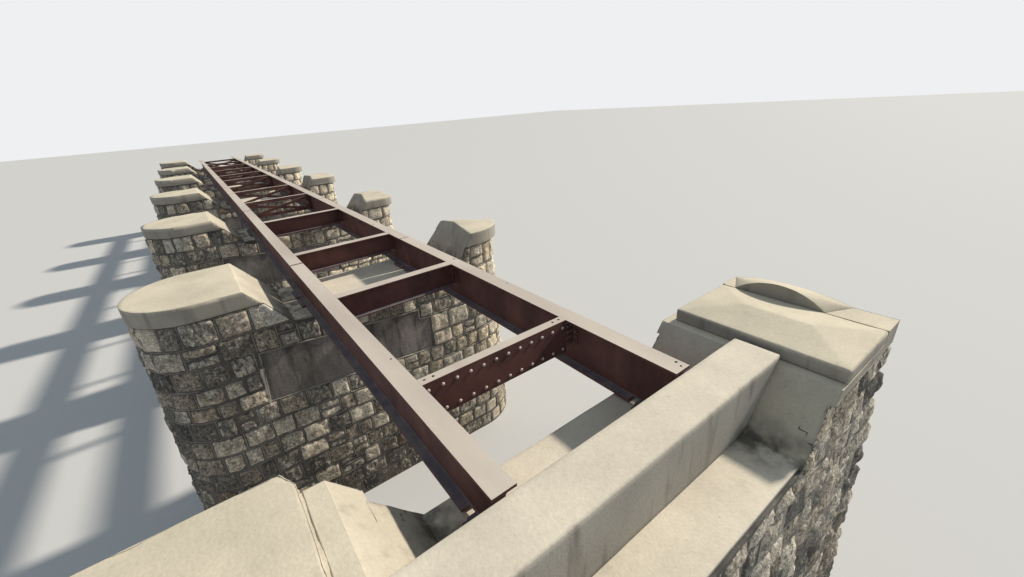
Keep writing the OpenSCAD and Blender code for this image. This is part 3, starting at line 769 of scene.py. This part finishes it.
def stone_patch(pier, u0, u1, z0, z1, over_panel, spacing, rng):
    """One rock-faced stone as a grid of points and faces, or None where the trough leaves no room for it."""
    jitter = [rng.uniform(-0.005, 0.005) for n in range(8)]
    (rel0, near), (rel1, near1) = pier.across(u0), pier.across(u1)
    gap = JOINT_HALF + 0.004 * min(1, max(0, abs(rel0) - 1.3))
    crosses = rel0 * rel1 < 0
    straight = near == near1 and abs(abs(rel1 - rel0) - (u1 - u0)) < 0.04 * (u1 - u0)
    inner = 0.0 if crosses else min(abs(rel0), abs(rel1))
    outer = max(abs(rel0), abs(rel1))
    edge_y, rate = pier.slope(rel0 + rel1 < 0, near)
    corners = [c + pier.length * n for n in (-1, 0, 1, 2) for c in pier.corners]
    us = grid_lines(u0, u1, spacing, corners)
    foot, head = pier.course_line(us, z0, over_panel), pier.course_line(us, z1)
    low, limit = foot.mean(), head.mean()
    beside = straight and inner < edge_y + (limit - SEAT_Z) * rate and limit > POCKET_Z
    if beside:
        highest = POCKET_Z if crosses else SEAT_Z + (outer - 0.05 - edge_y) / rate
        limit = min(limit, max(highest, POCKET_Z))
        if limit - low < LEAST_H:
            return None
        foot, head = foot * 0 + low, head * 0 + limit
    strips = max(3, round((limit - low) / spacing))
    u, b = (g.ravel() for g in np.meshgrid(us, np.linspace(0, 1, strips + 1)))
    a = (u - u0) / (u1 - u0)
    if any(u0 + 0.01 < c < u1 - 0.01 for c in corners):
        u = np.where(a < 0.001, u + gap, np.where(a > 0.999, u - gap, u))
    else:
        u = u + (1 - a) * joint_side(gap, *jitter[0:2], b) - a * joint_side(gap, *jitter[2:4], b)
    z = np.tile(foot, strips + 1) * (1 - b) + np.tile(head, strips + 1) * b
    z = z + (1 - b) * joint_side(gap, *jitter[4:6], a) - b * joint_side(gap, *jitter[6:8], a)
    if beside and not crosses:
        u = off_the_slope(u, z, u0, rel0, rel1, gap, edge_y, rate)
    flat = pier.surface(u, z, np.zeros(len(u)))
    out = rough_face(flat, a, b, u1 - u0, limit - low, rng)
    out = np.minimum(out, OUT_PER_HEIGHT * z)
    return pier.surface(u, z, out), strip_faces(strips, len(us))


# Pointing: half its width, depth of its edges, reach, and its section in shares, but the edges in metres
POINTING_HALF = 0.010
POINTING_IN = 0.004
POINTING_OUT = 0.013
POINTING_SECTION = ((-1.0, -POINTING_IN), (-0.55, 0.55), (0.0, 1.0), (0.55, 0.55), (1.0, -POINTING_IN))


def bead(pier, us, zs, width, seed, strength):
    """Raised pointing along a joint: a ridge of mortar that comes and goes."""
    n = len(us)
    du, dz = us[-1] - us[0], zs[-1] - zs[0]
    level = abs(du) > abs(dz)
    flat = pier.surface(us, zs, np.zeros(n))
    wander = 0.003 * field(flat, 0.08, seed, 2)
    present = 0.62 + 0.8 * field(flat, 0.55, 7 + pier.k, 3) + 0.35 * field(flat, 0.06, seed + 3, 2)
    present = np.clip(present, 0, 1)
    present = present * strength * np.interp(flat[:, 1] - AXIS_Y, (1.2, 2.2), (1.0, 0.6))
    points = []
    for offset, height in POINTING_SECTION:
        ridge = -POINTING_IN + (POINTING_OUT * height + POINTING_IN) * present
        out = np.minimum(np.where(height < 0, height, ridge), OUT_PER_HEIGHT * zs)
        shift = wander + offset * width * (0.75 + 0.25 * present)
        points.append(pier.surface(us + (0 if level else shift), zs + (shift if level else 0), out))
    return np.concatenate(points), strip_faces(len(POINTING_SECTION) - 1, n)


def panel_joints(pier):
    """Pointing round a panel, as places on the near face with their heights and a strength."""
    sine, cosine = math.sin(PANEL_FALL), math.cos(PANEL_FALL)
    step, step_h = PANEL_STEP_L - PANEL_L, PANEL_H - PANEL_STEP_H
    lines = []
    for start, end, strength in (((0, -0.01), (0, PANEL_H + 0.01), 1.6),
                                 ((0, PANEL_H), (step, PANEL_H), 1.4),
                                 ((step, PANEL_H + 0.05), (step, step_h), 1.0),
                                 ((step, step_h), (-PANEL_L, step_h), 1.3)):
        n = max(4, round(math.dist(start, end) / 0.05))
        along = np.linspace(start[0], end[0], n)
        up = np.linspace(start[1], end[1], n)
        rel = PANEL_AT[0] + along * cosine - up * sine
        z = PANEL_AT[1] + along * sine + up * cosine
        lines.append((pier.place(rel, z), z, strength))
    return lines


def stone_joints(pier, u0, u1, low, high, over_panel, reached, spacing):
    """Pointing at the end of a stone and over it, unless the trough cuts the stone short."""
    foot = pier.course_line([u1], low, over_panel)[0]
    head = pier.course_line([u1], high)[0]
    if reached < head - 0.05:
        return []
    lines = [(np.full(6, u1), np.linspace(foot + 0.004, head - 0.004, 6), 1.0)]
    if high < MASONRY_TOP - 0.01:
        steps = max(3, round((u1 - u0) / (spacing * 1.3)))
        us = np.linspace(u0 - 0.004, u1 + 0.004, steps)
        lines.append((us, pier.course_line(us, high), 1.0))
    return lines


def stone_colour(pier, low, middle, near, palette, rng):
    """A stone's colour and share of fresh face: darker near the ground, and brighter, paler and warmer on the
    right ends as painted sunlight.
    """
    tint = rng.choice(palette)
    shade = rng.uniform(0.66, 1.36) * (0.42 + 0.58 * min(1, low / 1.7))
    pale = rng.random() ** 2.0 * (0.35 + 0.65 * min(1, low / 1.5))
    shade = shade * (PALER_NEAR if pier.k < 2 else PALER_FAR)
    tint = [value * warmer for value, warmer in zip(tint, WARMER)]
    if not pier.square:
        # Painted sunlight: towards the right ends the stones are drawn brighter, paler and warmer, standing in
        # for the sun that lights them there.
        painted_sunlight = min(1, max(0, -0.2 - middle) / 1.5)
        more, painted_sun_paleness = (0.9, 0.55) if pier.k == 1 else (1.9, 0.85)
        shade = shade * (1 + more * painted_sunlight)
        pale = min(1.0, pale + painted_sun_paleness * painted_sunlight)
        tint = (tint[0] * (1 + 0.07 * painted_sunlight), tint[1], tint[2] * (1 - 0.18 * painted_sunlight))
    under_cap = pier.k == 1 and low == CAP_COURSE * COURSE_H and near
    if under_cap and PALE_STONE[1] < middle < PALE_STONE[0]:
        tint, shade, pale = PALE_STONE_TINT, 1.0, 0.9
    return [tint[0] * shade, tint[1] * shade, tint[2] * shade, pale]


def point_joints(pier, joints, material):
    ridges = []
    for us, zs, strength in joints:
        keep = pier.clear(us, zs)
        if keep.sum() > 1:
            ridges.append(bead(pier, us[keep], zs[keep], POINTING_HALF, 50 + pier.k, strength))
    patchwork(f"pointing_{pier.k}", ridges, material)


def masonry(k, spacing, material, pointing):
    """All stones of one pier as a single piece, each with its own tint, and the pointing between them."""
    pier, rng = Pier(k), random.Random(100 + k)
    palette = [tint for tint, share in STONE_TINTS for n in range(share)]
    patches, tints, below, joints = [], [], [], []
    for course in range(COURSES):
        stones, below = course_stones(pier, course, below, rng)
        for u0, u1, low, high in stones:
            middle, near = pier.across((u0 + u1) / 2)
            above = not pier.square and low == OVER_COURSE * COURSE_H and near
            over_panel = above and OVER_PANEL[1] < middle < OVER_PANEL[0]
            colour = stone_colour(pier, low, middle, near, palette, rng)
            made = stone_patch(pier, u0, u1, low, high, over_panel, spacing, rng)
            if made is None:
                continue
            patches.append(made)
            tints.append(np.tile(colour, (len(made[0]), 1)))
            joints += stone_joints(pier, u0, u1, low, high, over_panel, made[0][:, 2].max(), spacing)
    if not pier.square:
        joints += panel_joints(pier)
    piece = patchwork(f"stones_{k}", patches, material)
    attribute = piece.data.color_attributes.new("tint", "FLOAT_COLOR", "POINT")
    attribute.data.foreach_set("color", np.concatenate(tints).ravel())
    point_joints(pier, joints, pointing)


# The thin concrete on the slopes: strips across it, distance behind the facing's front, tuck and depth of its
# first row, how far it stands off the slope, hangs down at its edge and runs past its ends, waves and rows
SKIN_STRIPS = 5
SKIN_BEHIND = 0.045
SKIN_TUCK = 0.05
SKIN_IN = 0.005
SKIN_COVER = 0.0015
SKIN_DROP = 0.012
SKIN_ABOVE = 0.012
SKIN_BELOW = 0.03
SKIN_WAVE = 0.002
SKIN_ROW = 0.04


def slope_skin(k, right, near):
    """The outermost strip of concrete on a slope, which runs out thin over the stones."""
    pier = Pier(k)
    edge_y, rate = pier.slope(right, near)
    inner_x = pier.half - FACING_IN - SKIN_BEHIND
    outwards = 0.0
    if right and k:
        folded = not near and k in FAR_TURN
        outwards = math.tan(FAR_TURN[k] if folded else RIGHT_TURN[k]) * (1 if near or folded else -1)
    bed = MASONRY_TOP - RIGHT_DROP[k] * right + SKIN_ABOVE
    n, m = SKIN_STRIPS, max(4, round((bed - SEAT_Z) / SKIN_ROW))
    points, side = [], -1 if right else 1
    for j in range(m + 1):
        z = SEAT_Z - SKIN_BELOW + (bed - SEAT_Z + SKIN_BELOW) * j / m
        outer_x = pier.half + pier.batter * (1 - z / MASONRY_TOP)
        for i in range(n + 1):
            share = min(max(i - 1, 0), n - 2)
            x = inner_x + (outer_x - inner_x) * share / (n - 2) - (0.0 if i else SKIN_TUCK)
            drop = 0.0 if i < n else SKIN_DROP
            out = edge_y + (z - SEAT_Z) * rate + (-SKIN_COVER if i else SKIN_IN) + (pier.half - x) * outwards
            out += SKIN_WAVE * math.sin(23 * x + 31 * z + k) + drop * 0.5
            points.append((pier.x + (-x if near else x), AXIS_Y + side * out, z - drop))
    return points, strip_faces(m, n + 1)


def slope_skins(k, material):
    """The thin concrete on all four slopes of one pier, as a single piece."""
    patches = [slope_skin(k, right, near) for right in (False, True) for near in (False, True)]
    return patchwork(f"slope_edges_{k}", patches, material)


# Mortar in the first pier's left joint: distance from the girders' axis, its lines, near and far end, depth,
# unevenness and points along
FILL_AT = 1.56
FILL_ACROSS = (-0.034, -0.011, 0.011, 0.034)
FILL_IN = 0.006
FILL_FAR = 0.712
FILL_DEPTH = 0.0045
FILL_UNEVEN = 0.0025
FILL_PLACES = 60


def joint_fill(material):
    """Mortar that all but fills the joint between the first pier's two left caps."""
    middle = Pier(0).x
    xs = np.linspace(middle - PIER_HALF_TOP - CAP_OVER + FILL_IN, middle + FILL_FAR, FILL_PLACES)
    points = np.array([(x, AXIS_Y + FILL_AT + across, 0.0) for across in FILL_ACROSS for x in xs])
    points[:, 2] = CAP_TOP - FILL_DEPTH + FILL_UNEVEN * field(points, 0.05, 91, 2)
    faces = strip_faces(len(FILL_ACROSS) - 1, len(xs))
    return patchwork("joint_fill", [(points, faces)], material)


# Pale raised strip beside the second pier's panel, a painted highlight along the panel's sunlit left edge: its
# height, its distance from the panel, and half its width
STRIP_H = 0.46
STRIP_OFF = 0.012
STRIP_HALF = 0.023


def pale_strip(material):
    """Pale raised strip beside the lower part of the second pier's panel, a painted highlight along its sunlit
    edge.
    """
    pier = Pier(1)
    up = np.linspace(-0.01, STRIP_H, 24)
    rel = PANEL_AT[0] + STRIP_OFF - up * math.sin(PANEL_FALL)
    z = PANEL_AT[1] + up * math.cos(PANEL_FALL)
    strip = bead(pier, pier.place(rel, z), z, STRIP_HALF, 5, 1.7)
    return patchwork("pale_strip", [strip], material)


# Steelwork

# A rivet's head, with the radius and height of its rings as shares
RIVET_R = 0.015
RIVET_H = 0.010
RIVET_SIDES = 10
RIVET_RINGS = ((1.0, -0.1), (0.98, 0.25), (0.72, 0.72), (0.35, 0.95))


def rivet_points(normal, at):
    """A domed head on a face with the given normal: points and faces."""
    sides = RIVET_SIDES
    turn = Vector(normal).to_track_quat("Z", "Y").to_matrix()
    points, faces = [], []
    for ring_r, ring_h in RIVET_RINGS:
        for i in range(sides):
            a = 2 * math.pi * i / sides
            r = RIVET_R * ring_r
            points.append(Vector(at) + turn @ Vector((r * math.cos(a), r * math.sin(a), RIVET_H * ring_h)))
    points.append(Vector(at) + turn @ Vector((0, 0, RIVET_H)))
    for ring in range(len(RIVET_RINGS) - 1):
        for i in range(sides):
            j = (i + 1) % sides
            faces.append((ring * sides + i, ring * sides + j, (ring + 1) * sides + j, (ring + 1) * sides + i))
    last = (len(RIVET_RINGS) - 1) * sides
    faces += [(last + i, last + (i + 1) % sides, last + sides) for i in range(sides)]
    faces.append(tuple(range(sides - 1, -1, -1)))
    return points, faces


def rivets(name, places, material):
    """One piece holding a head at each (position, normal)."""
    return patchwork(name, [rivet_points(normal, at) for at, normal in places], material)


GIRDER_WEB_HALF = 0.006
BEAM_WEB_T = 0.010
CHANNEL_WEB_T = 0.010
FRAME_WEB_T = 0.009
CLEAT_LEG = 0.075
CLEAT_T = 0.009

# Rivets along the channel: number, distance apart, the first one's place across, and the rows' distances
# from the channel's top and foot
CHANNEL_RIVETS = 12
CHANNEL_PITCH = 0.117
CHANNEL_FIRST = 0.6435
CHANNEL_ROW_TOP = 0.065
CHANNEL_ROW_FOOT = 0.045

# Rivets through the channel's cleats: rows, first depth, distance apart, and distances from the two webs
CHANNEL_CLEAT_ROWS = 4
CHANNEL_CLEAT_FIRST = 0.075
CHANNEL_CLEAT_PITCH = 0.055
CHANNEL_CLEAT_COLUMNS = (0.024, 0.056)
IN_GIRDER = 0.044

# Rivets through the other cleats: the first one's depth, their distance apart, and the column's from the web
CLEAT_FIRST = 0.085
CLEAT_PITCH = 0.07
CLEAT_COLUMN = 0.042


def off_web(side, distance):
    """Place across the bridge, at a distance from the inner face of a girder's web."""
    return AXIS_Y + side * (HALF_GAUGE - GIRDER_WEB_HALF - distance)


def channel_rivets(material, dust_and_highlight):
    """Two rows of pale heads along the channel, dusty and with a painted highlight, and the columns through
    the angles at its ends.
    """
    low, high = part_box("cross_channel")
    centre_x = low.x + CLEAT_LEG + CHANNEL_WEB_T / 2
    face_x = centre_x - CHANNEL_WEB_T / 2
    places = []
    for z in (GIRDER_TOP - CHANNEL_ROW_TOP, low.z + CHANNEL_ROW_FOOT):
        for i in range(CHANNEL_RIVETS):
            places.append(((face_x, AXIS_Y + CHANNEL_FIRST - i * CHANNEL_PITCH, z), (-1, 0, 0)))
    rivets("channel_rivets", places, dust_and_highlight)
    places = []
    for side in (-1, 1):
        for row in range(CHANNEL_CLEAT_ROWS):
            z = GIRDER_TOP - CHANNEL_CLEAT_FIRST - row * CHANNEL_CLEAT_PITCH
            for column in CHANNEL_CLEAT_COLUMNS:
                places.append(((face_x - CLEAT_T, off_web(side, column), z), (-1, 0, 0)))
            for face in (-1, 1):
                x = centre_x + face * (CHANNEL_WEB_T / 2 + IN_GIRDER)
                places.append(((x, off_web(side, CLEAT_T), z), (0, -side, 0)))
    rivets("channel_cleat_rivets", places, material)


def cleat_rivets(name, nodes, web_t, rows, material):
    """The columns of heads through the cleats of several cross members, as a single piece."""
    places = []
    for node in nodes:
        low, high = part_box(node)
        open_frame = node.startswith("cross_frame")
        centre_x = low.x + CLEAT_LEG + web_t / 2 if open_frame else (low.x + high.x) / 2
        for face in (-1, 1):
            x = centre_x + face * (web_t / 2 + CLEAT_T)
            for side in (-1, 1):
                for row in range(rows):
                    z = GIRDER_TOP - CLEAT_FIRST - row * CLEAT_PITCH
                    places.append(((x, off_web(side, CLEAT_COLUMN), z), (face, 0, 0)))
    return rivets(name, places, material)


# Dark discs of painted shade in the open holes of the top flanges: place along the bridge and from the
# girders' axis, radius and sides; half the width of the dark strips of painted shade over the open joints; and
# how far both lie over the steel
FLANGE_HOLES = ((-10.816, -0.801, 0.016), (-11.920, -0.811, 0.009), (-13.932, -0.804, 0.011),
                (-13.982, -0.786, 0.009), (-8.215, -0.720, 0.012), (-12.468, 0.713, 0.009))
HOLE_SIDES = 12
JOINT_SHADE_HALF = 0.016
JUST_OVER = 0.0008


def painted_shade_holes(material):
    """Dark discs and strips just over the steel, painted shade for the open holes in the top flanges and two
    open joints of the left girder.
    """
    turns = [math.pi * i / (HOLE_SIDES // 2) for i in range(HOLE_SIDES)]
    outlines = []
    for x, rel, radius in FLANGE_HOLES:
        outlines.append([(x + radius * math.cos(a), AXIS_Y + rel + radius * math.sin(a)) for a in turns])
    for k in (0, 1):
        low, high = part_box(f"girder_left_{k}")
        near_x, far_x = high.x - JOINT_SHADE_HALF, high.x + JOINT_SHADE_HALF
        outlines.append([(near_x, low.y), (far_x, low.y), (far_x, high.y), (near_x, high.y)])
    vertices, faces = [], []
    for outline in outlines:
        faces.append(tuple(range(len(vertices), len(vertices) + len(outline))))
        vertices += [(x, y, GIRDER_TOP + JUST_OVER) for x, y in outline]
    return dress(add_object("painted_shade_holes", vertices, faces, material))


STEEL_BEVEL = 0.002


def steel_piece(node, material):
    piece = copy_node(node, f"{node}_steel", material)
    round_edges(piece, STEEL_BEVEL, 40)
    return dress(piece, node)


# Floor and light

# Half the floor's size, and how far it lies under the piers
FLOOR_HALF = 150
FLOOR_GAP = 0.001


def make_stage():
    size = FLOOR_HALF
    corners = [(-size, -size, 0), (size, -size, 0), (size, size, 0), (-size, size, 0)]
    floor = add_object("floor", corners, [(0, 1, 2, 3)], plain_material("floor", FLOOR, 0.95))
    floor.location.z = -FLOOR_GAP


SUN_FROM = Vector((-0.08, -0.812, 0.578))
SUN_ENERGY = 4.0
SUN_ANGLE = math.radians(3)
SUN_COLOUR = (1.0, 0.93, 0.82)
SKY_COLOUR = (0.74, 0.87, 1.0, 1)
SKY_STRENGTH = 0.42
BACKDROP = (0.86, 0.87, 0.88, 1)


def make_sky():
    """A bluish sky that lights the object, and a plain pale backdrop that only the camera sees."""
    world = bpy.data.worlds.new("studio")
    bpy.context.scene.world = world
    world.use_nodes = True
    tree = world.node_tree
    background = tree.nodes["Background"]
    background.inputs["Color"].default_value = SKY_COLOUR
    background.inputs["Strength"].default_value = SKY_STRENGTH
    backdrop = tree.nodes.new("ShaderNodeBackground")
    backdrop.inputs["Color"].default_value = BACKDROP
    backdrop.inputs["Strength"].default_value = 1.0
    mix = tree.nodes.new("ShaderNodeMixShader")
    tree.links.new(tree.nodes.new("ShaderNodeLightPath").outputs["Is Camera Ray"], mix.inputs[0])
    tree.links.new(background.outputs[0], mix.inputs[1])
    tree.links.new(backdrop.outputs[0], mix.inputs[2])
    tree.links.new(mix.outputs[0], tree.nodes["World Output"].inputs["Surface"])


def make_sun():
    data = bpy.data.lights.new("key", "SUN")
    data.energy = SUN_ENERGY
    data.angle = SUN_ANGLE
    data.color = SUN_COLOUR
    key = bpy.data.objects.new("key", data)
    key.rotation_euler = SUN_FROM.to_track_quat("Z", "Y").to_euler()
    bpy.context.scene.collection.objects.link(key)


# Distance between the points of each pier's stones and caps: fine where the camera is near
STONE_SPACING = (0.034, 0.022, 0.034, 0.05, 0.05, 0.05, 0.05)
CAP_SPACING = (0.035, 0.035, 0.05, 0.09, 0.09, 0.09, 0.09)

# Bevel and chips of the caps; those of the third pier are badly chipped
CAP_BEVEL = 0.008
CAP_CHIP = 0.010
BAD_CHIP = 0.028
CHIPPED_PIER = 2

# The other concrete nodes: distance between points, bevel and chips
CONCRETE_WEAR = {
    "bridge_seats": (0.07, 0.005, 0.006),
    "back_wall": (0.035, 0.012, 0.016),
    "edge_slab": (0.035, 0.008, 0.010),
    "infill_panels": (0.05, 0.006, 0.008)}


def dress_piers(cap):
    """Stones, pointing, slopes and caps of every pier."""
    stone, mortar, pointing = stone_material(), mortar_material(), pointing_material()
    for k in PIERS:
        NODES[f"pier_{k}"].data.materials.clear()
        NODES[f"pier_{k}"].data.materials.append(mortar)
        masonry(k, STONE_SPACING[k], stone, pointing)
        slope_skins(k, cap)
        chip = BAD_CHIP if k == CHIPPED_PIER else CAP_CHIP
        caps = worn_copy(f"caps_{k}", f"cap_stones_{k}", cap, CAP_SPACING[k], CAP_BEVEL, chip, 40 + k)
        dress(caps, f"caps_{k}")


def dress_concrete(cap):
    """The other concrete nodes, a strip of mortar, and a pale strip of painted highlight."""
    seat = concrete_material("seat concrete", *SEAT_LIT_TOP_SHADED_SIDE_STAIN)
    materials = {"bridge_seats": seat, "back_wall": seat, "edge_slab": cap, "infill_panels": panel_material()}
    for node, (cell, bevel, chip) in CONCRETE_WEAR.items():
        piece = worn_copy(node, f"{node}_worn", materials[node], cell, bevel, chip, 70)
        dress(piece, node)
    joint_fill(cap)
    # A painted highlight beside the second pier's panel.
    pale_strip(plain_material("panel edge painted highlight", PANEL_EDGE_PAINTED_HIGHLIGHT, 0.95))


def dress_steel():
    steel = steel_material()
    # Painted shade in the open holes and joints.
    painted_shade_holes(plain_material("painted shade holes", HOLE_PAINTED_SHADE))
    for node in sorted(NODES):
        if node.startswith(("girder", "cross", "bearing")):
            steel_piece(node, steel)
    # The channel's rivet heads are pale: dust and a painted highlight.
    channel_rivets(steel, plain_material("scuffed rivets", PALE_RIVET_PAINTED_HIGHLIGHT, 0.7))
    beams = [f"cross_beam_{k}" for k in (1, 2, 3)]
    frames = [f"cross_frame_{k}" for k in range(4, 12)]
    cleat_rivets("beam_rivets", beams, BEAM_WEB_T, 3, steel)
    cleat_rivets("frame_rivets", frames, FRAME_WEB_T, 4, steel)


def build():
    make_camera()
    cap = concrete_material("cap concrete", *CAP_LIT_TOP_SHADED_SIDE_STAIN)
    dress_piers(cap)
    dress_concrete(cap)
    dress_steel()
    make_stage()
    make_sky()
    make_sun()
    bpy.context.scene.view_settings.view_transform = "Standard"


build()
